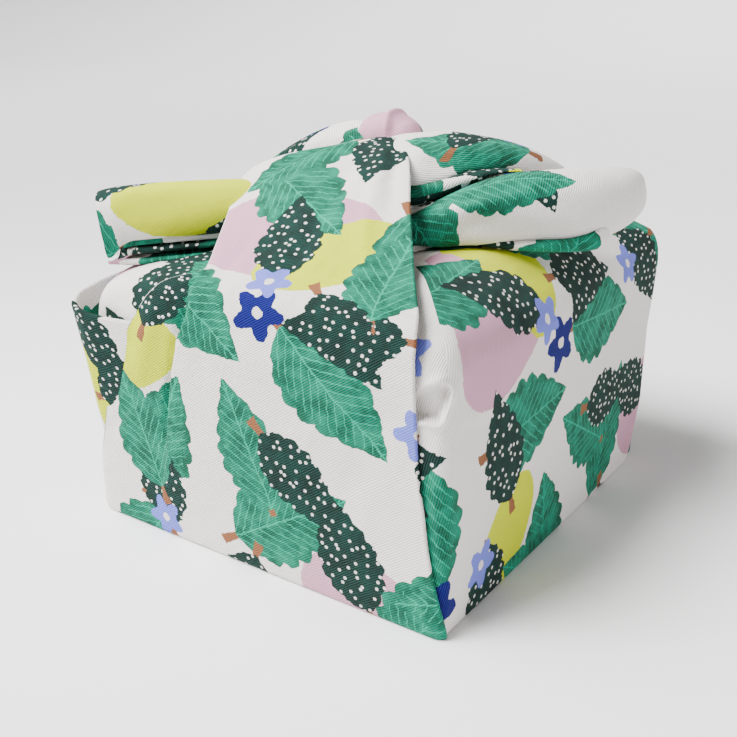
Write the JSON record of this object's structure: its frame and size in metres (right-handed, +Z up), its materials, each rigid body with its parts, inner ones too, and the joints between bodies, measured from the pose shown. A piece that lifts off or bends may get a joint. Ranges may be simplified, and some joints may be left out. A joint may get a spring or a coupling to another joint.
{
  "type": "furoshiki wrap",
  "caption": "Square printed cotton cloth wrapped round a box-shaped load and tied on top, with loose ends and a tucked flap.",
  "frame": {"origin": "on the floor, at the middle of the wrapped box's footprint", "axes": "+Z up to the knot, -Y out of the face that the flap covers, +X out of the smooth side face"},
  "size_m": [0.2066, 0.2146, 0.1785],
  "materials": {
    "furoshiki_cloth": "matt printed cotton twill, off-white ground"
  },
  "bodies": {
    "root": {"furoshiki_cloth": "furoshiki_cloth"}
  },
  "joints": []
}
